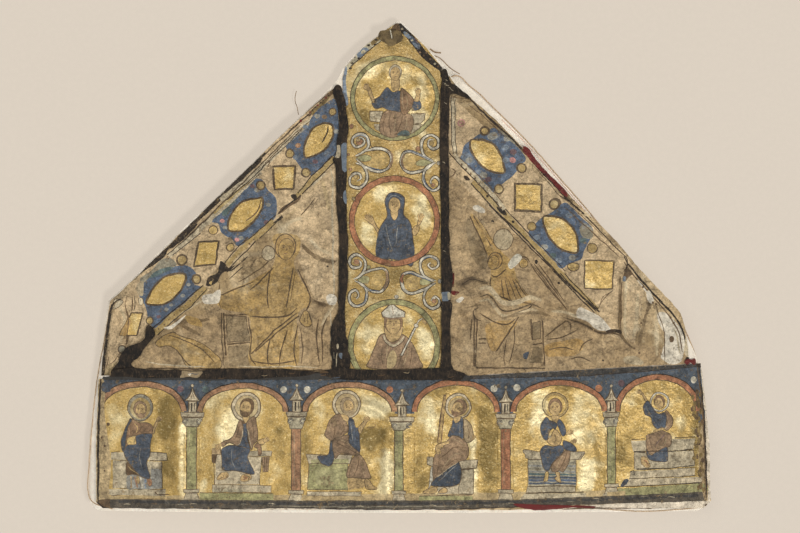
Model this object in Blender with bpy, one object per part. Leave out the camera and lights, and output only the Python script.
"""A bishop's mitre of painted parchment over linen, lying flat on its back.

It is two horns of stiff linen, seamed together up the sides of the head band, with a folded silk
gusset between them. The front carries a painted band, a gabled centre strip, two side panels and
the dark ribbons that cover their joins. The back is one plain sheet of parchment.

Sizes are in millimetres and become metres where a vertex is placed. "Across" is the distance
right of the centre line, "up" is the distance from the mouth towards the tip, and "rise" is the
height above the surface that the mitre lies on. "Run" is the distance from the centre line
measured along the front, so that it carries on round the folded side.
"""

import math
from collections import namedtuple

import bmesh
import bpy
import numpy as np
from mathutils import Vector

MM = 0.001

# Driving sizes
HEIGHT = 245.0  # mouth to tip
LINEN = 1.5  # stiff linen of each horn
PARCHMENT = 1.0
RIBBON = 1.0
SILK = 1.0
GAP = 0.3  # left between pieces that touch
SEAM_GAP = 0.6  # left along the side seams, where the front linen stands on the back linen
BAND_HEIGHT = 66.0  # painted head band, left of the centre line
BAND_CLIMB = 0.05  # right of it, the band's top climbs this much for each millimetre
LINEN_STEP = 15.0  # widest face of the front linen
ROLL_COLUMNS = 4  # faces round a rolled side of the front linen
ROLL_ROOM = 3.0  # width of those close columns along a free edge, if the sheet has room for them
ROLL_SHARE = 0.2  # and the largest share of the sheet's width that they take at a side

BACK_PARCHMENT_RISE = 0.0
BACK_LINEN_RISE = PARCHMENT + GAP
SEAM_RISE = BACK_LINEN_RISE + LINEN + SEAM_GAP
ON_LINEN = GAP  # lift of what lies on the front linen
ON_PARCHMENT = ON_LINEN + PARCHMENT + GAP  # lift of what lies on the front parchment

# The front's cross-sections: a low arch that is "edge" high where its side starts to roll down,
# "flat" from the centre line, and "crown" higher on the centre line.
Section = namedtuple("Section", "up flat edge crown")
SECTIONS = (
    Section(0, 148.6, 13.0, 19.0),
    Section(35, 148.8, 12.2, 17.0),
    Section(66, 145.7, 11.3, 15.0),
    Section(100, 141, 10.0, 11.0),
    Section(150, 141, 8.0, 6.0),
    Section(200, 141, 6.8, 3.5),
    Section(HEIGHT, 141, 6.0, 2.0),
)

# The back horn's outline, and where the front horn and the silk between them stop at the right
HornEdge = namedtuple("HornEdge", "up left right front_right silk_right")
PAST_SEAM = 170.0  # past the folded side, where a sheet stops at the side seam
HORN_EDGE = (
    HornEdge(0, -149.5, 150, 150, PAST_SEAM),
    HornEdge(2, -153.5, 153.5, 153.5, PAST_SEAM),
    HornEdge(6, -PAST_SEAM, PAST_SEAM, PAST_SEAM, PAST_SEAM),
    HornEdge(77, -PAST_SEAM, PAST_SEAM, PAST_SEAM, PAST_SEAM),
    HornEdge(86, -PAST_SEAM, 145, 145, 143),
    HornEdge(95, -PAST_SEAM, 141.5, 141.5, 139.5),
    HornEdge(105, -145.5, 133, 132.5, 130.5),
    HornEdge(118, -131, 121.5, 120.5, 118.5),
    HornEdge(128, -121.5, 114.2, 112.8, 111),
    HornEdge(150, -98.5, 95.5, 92.2, 91.5),
    HornEdge(169, -78.5, 79, 73.8, 76.5),
    HornEdge(181, -66.2, 68.5, 62.8, 65.5),
    HornEdge(193, -54, 57, 51.6, 49.5),
    HornEdge(213, -32.5, 35, 29.5, 28),
    HornEdge(219, -28.6, 28.6, 25.2, 24),
    HornEdge(223, -27.4, 24.6, 22.6, 21),
    HornEdge(233, -17.5, 14, 13.6, 12),
    HornEdge(241, -6.5, 5.5, 5.5, 4),
    HornEdge(HEIGHT, -1.5, 1.5, 1.5, 1),
)

# The outlines of the parchment pieces, from the mouth up
Edge = namedtuple("Edge", "up left right")
BAND_EDGE = (
    Edge(1.5, -147.5, 151.5),
    Edge(4.5, -150.8, 155.4),
    Edge(35, -150.8, 154.6),
    Edge(BAND_HEIGHT, -149.5, 151.2),
)
STRIP_EDGE = (
    Edge(68, -28, 23.2),
    Edge(216, -28, 23.2),
    Edge(222, -26.8, 21.6),
    Edge(232, -17.4, 13.8),
    Edge(240.5, -6.6, 5.0),
    Edge(244, -1.5, 1.2),
)
LEFT_PANEL_EDGE = (
    Edge(67.5, -148.5, -29),
    Edge(86, -146.3, -29),
    Edge(105, -143.6, -29),
    Edge(118, -130, -29),
    Edge(150, -97.6, -29),
    Edge(193, -53.2, -29),
    Edge(213, -31, -29),
)
RIGHT_PANEL_EDGE = (
    Edge(BAND_HEIGHT + 1.3, 24, 145.4),
    Edge(86, 24, 143.2),
    Edge(93, 24, 141),
    Edge(98.5, 24, 136.8),
    Edge(110.5, 24, 126.2),
    Edge(119.5, 24, 118.2),
    Edge(128, 24, 112),
    Edge(136.5, 24, 104.8),
    Edge(160.5, 24, 81),
    Edge(193, 24, 51),
    Edge(208.5, 24, 34),
    Edge(213, 24, 28.8),
    Edge(217.5, 24, 25.6),
)

# The parchment's creases: a rounded ridge along a line, "spread" wide each way
Fold = namedtuple("Fold", "across up to_across to_up spread ridge")
BAND_FOLDS = (
    Fold(-124, 8, -126, 56, 5.0, 0.9),
    Fold(-52, 10, -50, 52, 7.0, 0.6),
    Fold(-6, 8, -4, 50, 5.0, 0.9),
    Fold(40, 8, 38, 54, 5.0, 1.0),
    Fold(91, 6, 88, 54, 6.0, 0.7),
    Fold(122, 10, 124, 56, 5.0, 0.9),
    Fold(138, 8, 137, 52, 4.5, 0.8),
)
RIGHT_PANEL_FOLDS = (
    Fold(34, 105, 62, 98.5, 4.0, 1.9),
    Fold(62, 98.5, 82, 94, 4.0, 1.7),
    Fold(82, 94, 104, 97, 4.0, 1.5),
    Fold(114, 117, 119, 84, 4.0, 1.2),
    Fold(126, 106, 129, 82, 4.0, 1.6),
    Fold(44, 122, 52, 108, 6.0, 0.9),
)
LEFT_PANEL_FOLDS = (
    Fold(-40, 96, -50, 82, 6.0, 1.5),
    Fold(-62, 108, -72, 92, 7.0, 0.9),
    Fold(-135, 107, -135, 95, 4.0, 0.9),
)
STRIP_FOLDS = (
    Fold(-3, 96, -2, 122, 9.0, 0.6),
    Fold(-2, 134, -4, 158, 9.0, 0.6),
    Fold(-2, 196, -3, 216, 9.0, 0.7),
)

# Sheets of the front. Rolls are the close columns at the left and right, and climbs are how
# steeply the lower and the upper edge climb to the right.
Facing = namedtuple("Facing", "name edges step rolls material folds climbs")
LEVEL = (0.0, 0.0)
BAND_CLIMBS = (0.0, BAND_CLIMB)
PANEL_CLIMBS = (BAND_CLIMB, 0.0)
PARCHMENT_PIECES = (
    Facing("head_band", BAND_EDGE, 6.8, (3, 4), "painted_parchment", BAND_FOLDS, BAND_CLIMBS),
    Facing("centre_strip", STRIP_EDGE, 8.5, (0, 0), "painted_parchment", STRIP_FOLDS, LEVEL),
    Facing("left_panel", LEFT_PANEL_EDGE, 8.5, (2, 0), "parchment", LEFT_PANEL_FOLDS, LEVEL),
    Facing("right_panel", RIGHT_PANEL_EDGE, 7.6, (0, 2), "parchment", RIGHT_PANEL_FOLDS, PANEL_CLIMBS),
)

# Ribbons, from one end of the middle line to the other
Ribbon = namedtuple("Ribbon", "name across up to_across to_up width")
RIBBONS = (
    Ribbon("ribbon_left", -28.4, 73.2, -28.4, 211.5, 5.4),
    Ribbon("ribbon_right", 23.6, 73.2, 23.6, 219.5, 5.0),
    Ribbon("ribbon_cross", -122, 69.6, 27.5, 69.9, 6.2),
    Ribbon("ribbon_corner", -144.5, 70.5, -118.5, 95.5, 7.5),
)
RIBBON_STEP = 7.0  # longest face of a ribbon

GUSSET_TURN_UP = 92.0  # where the gusset turns back on itself
GUSSET_REACH = 133.0  # half width of the gusset, inside the rolled sides
GUSSET_INSET = 1.5  # the gusset stops this far short of the horn's slanting edge
GUSSET_LEAST = 4.0  # and is at least this long above its turn
GUSSET_COLUMNS = 16
LEAF_STEPS = 7
TURN_STEPS = 5

Tab = namedtuple("Tab", "across up width length thick droop")
TIP_TAB = Tab(across=-3.8, up=237.9, width=12.0, length=8.6, thick=2.4, droop=0.18)

COLOURS = {
    "linen": ((0.72, 0.68, 0.60), 0.9),
    "parchment": ((0.43, 0.33, 0.20), 0.6),
    "painted_parchment": ((0.46, 0.33, 0.12), 0.45),
    "ribbon": ((0.035, 0.026, 0.020), 0.8),
    "silk": ((0.22, 0.030, 0.025), 0.5),
    "tab": ((0.13, 0.09, 0.045), 0.85),
}


def clear_scene():
    for thing in list(bpy.data.objects):
        bpy.data.objects.remove(thing)


def material(name):
    """The Principled material of a cloth or skin, made once."""
    made = bpy.data.materials.get(name)
    if made is None:
        made = bpy.data.materials.new(name)
        made.use_nodes = True
        colour, roughness = COLOURS[name]
        shader = made.node_tree.nodes["Principled BSDF"]
        shader.inputs["Base Color"].default_value = (*colour, 1.0)
        shader.inputs["Roughness"].default_value = roughness
        shader.inputs["Metallic"].default_value = 0.0
    return made


def column_of(rows, name, up):
    """A named column of a table, read between its rows."""
    return float(np.interp(up, [row.up for row in rows], [getattr(row, name) for row in rows]))


def place(across, up, rise):
    """A point in metres. The origin is under the middle of the mitre."""
    return Vector((across * MM, (up - HEIGHT / 2) * MM, rise * MM))


def side_of(up):
    """Where the side's roll starts, its radius, and how steep the arch is there."""
    flat = column_of(SECTIONS, "flat", up)
    lean = math.atan(2 * column_of(SECTIONS, "crown", up) / flat)
    return flat, (column_of(SECTIONS, "edge", up) - SEAM_RISE) / math.cos(lean), lean


def run_of(across, up):
    """The run of the point that is this far across, or of the side seam if it lies past that."""
    flat, radius, lean = side_of(up)
    if abs(across) <= flat:
        return across
    turn = math.asin(min(1.0, (abs(across) - flat) / radius + math.sin(lean)))
    return math.copysign(flat + radius * (turn - lean), across)


def ridges(across, up, folds):
    """How far the folds raise the parchment at a point."""
    height = 0.0
    for fold in folds:
        way = Vector((fold.to_across - fold.across, fold.to_up - fold.up))
        here = Vector((across - fold.across, up - fold.up))
        share = min(1.0, max(0.0, here.dot(way) / way.length_squared))
        away = (here - share * way).length
        height += fold.ridge * math.exp(-((away / fold.spread) ** 2))
    return height


def on_front(run, up, lift, folds=()):
    """The point "lift" outside the front linen's outer face, raised by the folds."""
    flat, radius, side_lean = side_of(up)
    edge, crown = column_of(SECTIONS, "edge", up), column_of(SECTIONS, "crown", up)
    inside = max(-flat, min(flat, run))
    lean = math.atan(2 * crown * inside / flat**2)
    rise = edge + crown * (1 - (inside / flat) ** 2)
    across = inside
    if abs(run) > flat:
        turn = side_lean + (abs(run) - flat) / radius
        lean = math.copysign(turn, run)
        across += math.copysign(radius * (math.sin(turn) - math.sin(side_lean)), run)
        rise -= radius * (math.cos(side_lean) - math.cos(turn))
    lift += ridges(inside, up, folds)
    return place(across + lift * math.sin(lean), up, rise + lift * math.cos(lean))


def spaced(values, step):
    """The values, with more between them so that none is further than step from the next."""
    filled = [values[0]]
    for low, high in zip(values, values[1:]):
        parts = max(1, math.ceil((high - low) / step))
        filled += [low + (high - low) * (i + 1) / parts for i in range(parts)]
    return filled


def row_of_runs(left, right, columns, flat, roll_columns):
    """The runs of one row of a sheet, closer together where the side rolls over."""
    rolls_left, rolls_right = roll_columns
    room = min(ROLL_ROOM, 0.2 * (right - left))
    inner_left = max(left + room, -flat) if rolls_left else left
    inner_right = min(right - room, flat) if rolls_right else right
    runs = list(np.linspace(left, inner_left, rolls_left + 1)[:-1])
    runs += list(np.linspace(inner_left, inner_right, columns + 1))
    runs += list(np.linspace(inner_right, right, rolls_right + 1)[1:])
    return runs


def add_piece(name, bm, material_name):
    """Makes a bmesh the mesh of a new object."""
    mesh = bpy.data.meshes.new(name)
    bm.to_mesh(mesh)
    bm.free()
    mesh.materials.append(material(material_name))
    mesh.shade_smooth()
    mesh.set_sharp_from_angle(angle=math.radians(40))
    piece = bpy.data.objects.new(name, mesh)
    bpy.context.scene.collection.objects.link(piece)
    return piece


def thicken(piece, thickness, outwards):
    """Gives a sheet its wall. Its vertices stay where they are, as the inner or outer face."""
    wall = piece.modifiers.new("wall", "SOLIDIFY")
    wall.thickness = thickness * MM
    wall.offset = 1.0 if outwards else -1.0


def grid_piece(name, points, material_name):
    """A sheet through rows of points, which faces up where the points run right and then up."""
    bm = bmesh.new()
    across, along = len(points[0]) - 1, len(points) - 1
    bmesh.ops.create_grid(bm, x_segments=across, y_segments=along, size=1.0)
    for vert in bm.verts:
        column = round((vert.co.x + 1) / 2 * across)
        row = round((vert.co.y + 1) / 2 * along)
        vert.co = points[row][column]
    return add_piece(name, bm, material_name)


def front_sheet(shape, lift):
    """A sheet on the front, cut to an outline, and raised "lift" off the front linen."""
    ups = spaced([edge.up for edge in shape.edges], shape.step)
    widest = max(edge.right - edge.left for edge in shape.edges)
    columns = math.ceil(min(widest, 2 * SECTIONS[0].flat) / shape.step)
    points = []
    for up in ups:
        left = run_of(column_of(shape.edges, "left", up), up)
        right = run_of(column_of(shape.edges, "right", up), up)
        climb = np.interp(up, (ups[0], ups[-1]), shape.climbs)
        line = []
        for run in row_of_runs(left, right, columns, side_of(up)[0], shape.rolls):
            line.append(on_front(run, up + climb * max(0.0, run), lift, shape.folds))
        points.append(line)
    return grid_piece(shape.name, points, shape.material)


def front_linen():
    """The front horn's stiff linen, whose rolled sides stand on the back horn."""
    edges = [Edge(row.up, row.left, row.front_right) for row in HORN_EDGE]
    shape = Facing("front_linen", edges, LINEN_STEP, (ROLL_COLUMNS, ROLL_COLUMNS), "linen", (), LEVEL)
    thicken(front_sheet(shape, 0.0), LINEN, outwards=False)


def front_parchment():
    """The four painted pieces of parchment on the front."""
    for shape in PARCHMENT_PIECES:
        thicken(front_sheet(shape, ON_LINEN), PARCHMENT, outwards=True)


def back_sheet(name, rise, thickness, inset, material_name):
    """A level sheet of the back horn, cut to the horn's outline."""
    bm = bmesh.new()

    def side(name_of_side, sign):
        found = []
        for edge in HORN_EDGE:
            flat, radius, lean = side_of(edge.up)
            seam = flat + radius * (1 - math.sin(lean))
            reach = min(abs(getattr(edge, name_of_side)), seam) - inset
            found.append(bm.verts.new(place(sign * max(reach, 1.0), edge.up, rise)))
        return found

    outline = side("right", 1) + side("left", -1)[::-1]
    face = bm.faces.new(outline)
    raised = bmesh.ops.extrude_face_region(bm, geom=[face])["geom"]
    top = [v for v in raised if isinstance(v, bmesh.types.BMVert)]
    bmesh.ops.translate(bm, verts=top, vec=Vector((0, 0, thickness * MM)))
    bmesh.ops.recalc_face_normals(bm, faces=bm.faces)
    add_piece(name, bm, material_name)


def ribbon(row):
    """A flat ribbon laid over a join, from one end of its middle line to the other."""
    start = Vector((row.across, row.up))
    way = Vector((row.to_across - row.across, row.to_up - row.up))
    side = Vector((way.y, -way.x)).normalized() * row.width / 2
    steps = math.ceil(way.length / RIBBON_STEP)
    points = []
    for i in range(steps + 1):
        middle = start + way * i / steps
        line = []
        for share in (-1, 0, 1):
            at = middle + side * share
            line.append(on_front(run_of(at.x, at.y), at.y, ON_PARCHMENT))
        points.append(line)
    thicken(grid_piece(row.name, points, "ribbon"), RIBBON, outwards=True)


def edge_up(across, right_name):
    """How far up the horn's slanting edge is, this far across."""
    name = right_name if across > 0 else "left"
    slanting = [edge for edge in HORN_EDGE if edge.up > GUSSET_TURN_UP][::-1]
    reach = [abs(getattr(edge, name)) for edge in slanting]
    return float(np.interp(abs(across), reach, [edge.up for edge in slanting]))


def gusset():
    """The silk between the horns: a leaf under each, joined by a round turn inside the mitre."""
    under_front = -LINEN - 2 * GAP
    back_rise = BACK_LINEN_RISE + LINEN + GAP
    points = []
    for i in range(GUSSET_COLUMNS + 1):
        across = GUSSET_REACH * (2 * i / GUSSET_COLUMNS - 1)
        shortest = GUSSET_TURN_UP + GUSSET_LEAST
        back_tip = max(edge_up(across, "silk_right") - GUSSET_INSET, shortest)
        front_tip = max(min(back_tip, edge_up(across, "front_right") - GUSSET_INSET), shortest)
        path = []
        for k in range(LEAF_STEPS):
            up = front_tip + (GUSSET_TURN_UP - front_tip) * k / LEAF_STEPS
            path.append(on_front(across, up, under_front))
        top = on_front(across, GUSSET_TURN_UP, under_front)
        half = (top.z / MM - back_rise) / 2
        for k in range(TURN_STEPS + 1):
            angle = math.pi * k / TURN_STEPS
            up = GUSSET_TURN_UP - half * math.sin(angle)
            path.append(place(across, up, back_rise + half * (1 + math.cos(angle))))
        for k in range(LEAF_STEPS):
            up = GUSSET_TURN_UP + (back_tip - GUSSET_TURN_UP) * (k + 1) / LEAF_STEPS
            path.append(place(across, up, back_rise))
        points.append(path)
    thicken(grid_piece("silk_gusset", points, "silk"), SILK, outwards=False)


def tip_tab():
    """The worn scrap of cloth that is left near the tip, drooping at its sides."""
    tab = TIP_TAB
    bm = bmesh.new()
    bmesh.ops.create_uvsphere(bm, u_segments=14, v_segments=8, radius=1.0)
    base = on_front(tab.across, tab.up, ON_PARCHMENT).z / MM
    for vert in bm.verts:
        x, y, z = vert.co
        up = tab.up + tab.length * (y / 2 - tab.droop * (1 - y) * x * x)
        vert.co = place(tab.across + x * tab.width / 2, up, base + (1 + z) * tab.thick / 2)
    add_piece("tip_tab", bm, "tab")


def main():
    clear_scene()
    back_sheet("back_parchment", BACK_PARCHMENT_RISE, PARCHMENT, 0.4, "parchment")
    back_sheet("back_linen", BACK_LINEN_RISE, LINEN, 0.2, "linen")
    front_linen()
    front_parchment()
    for row in RIBBONS:
        ribbon(row)
    gusset()
    tip_tab()


main()
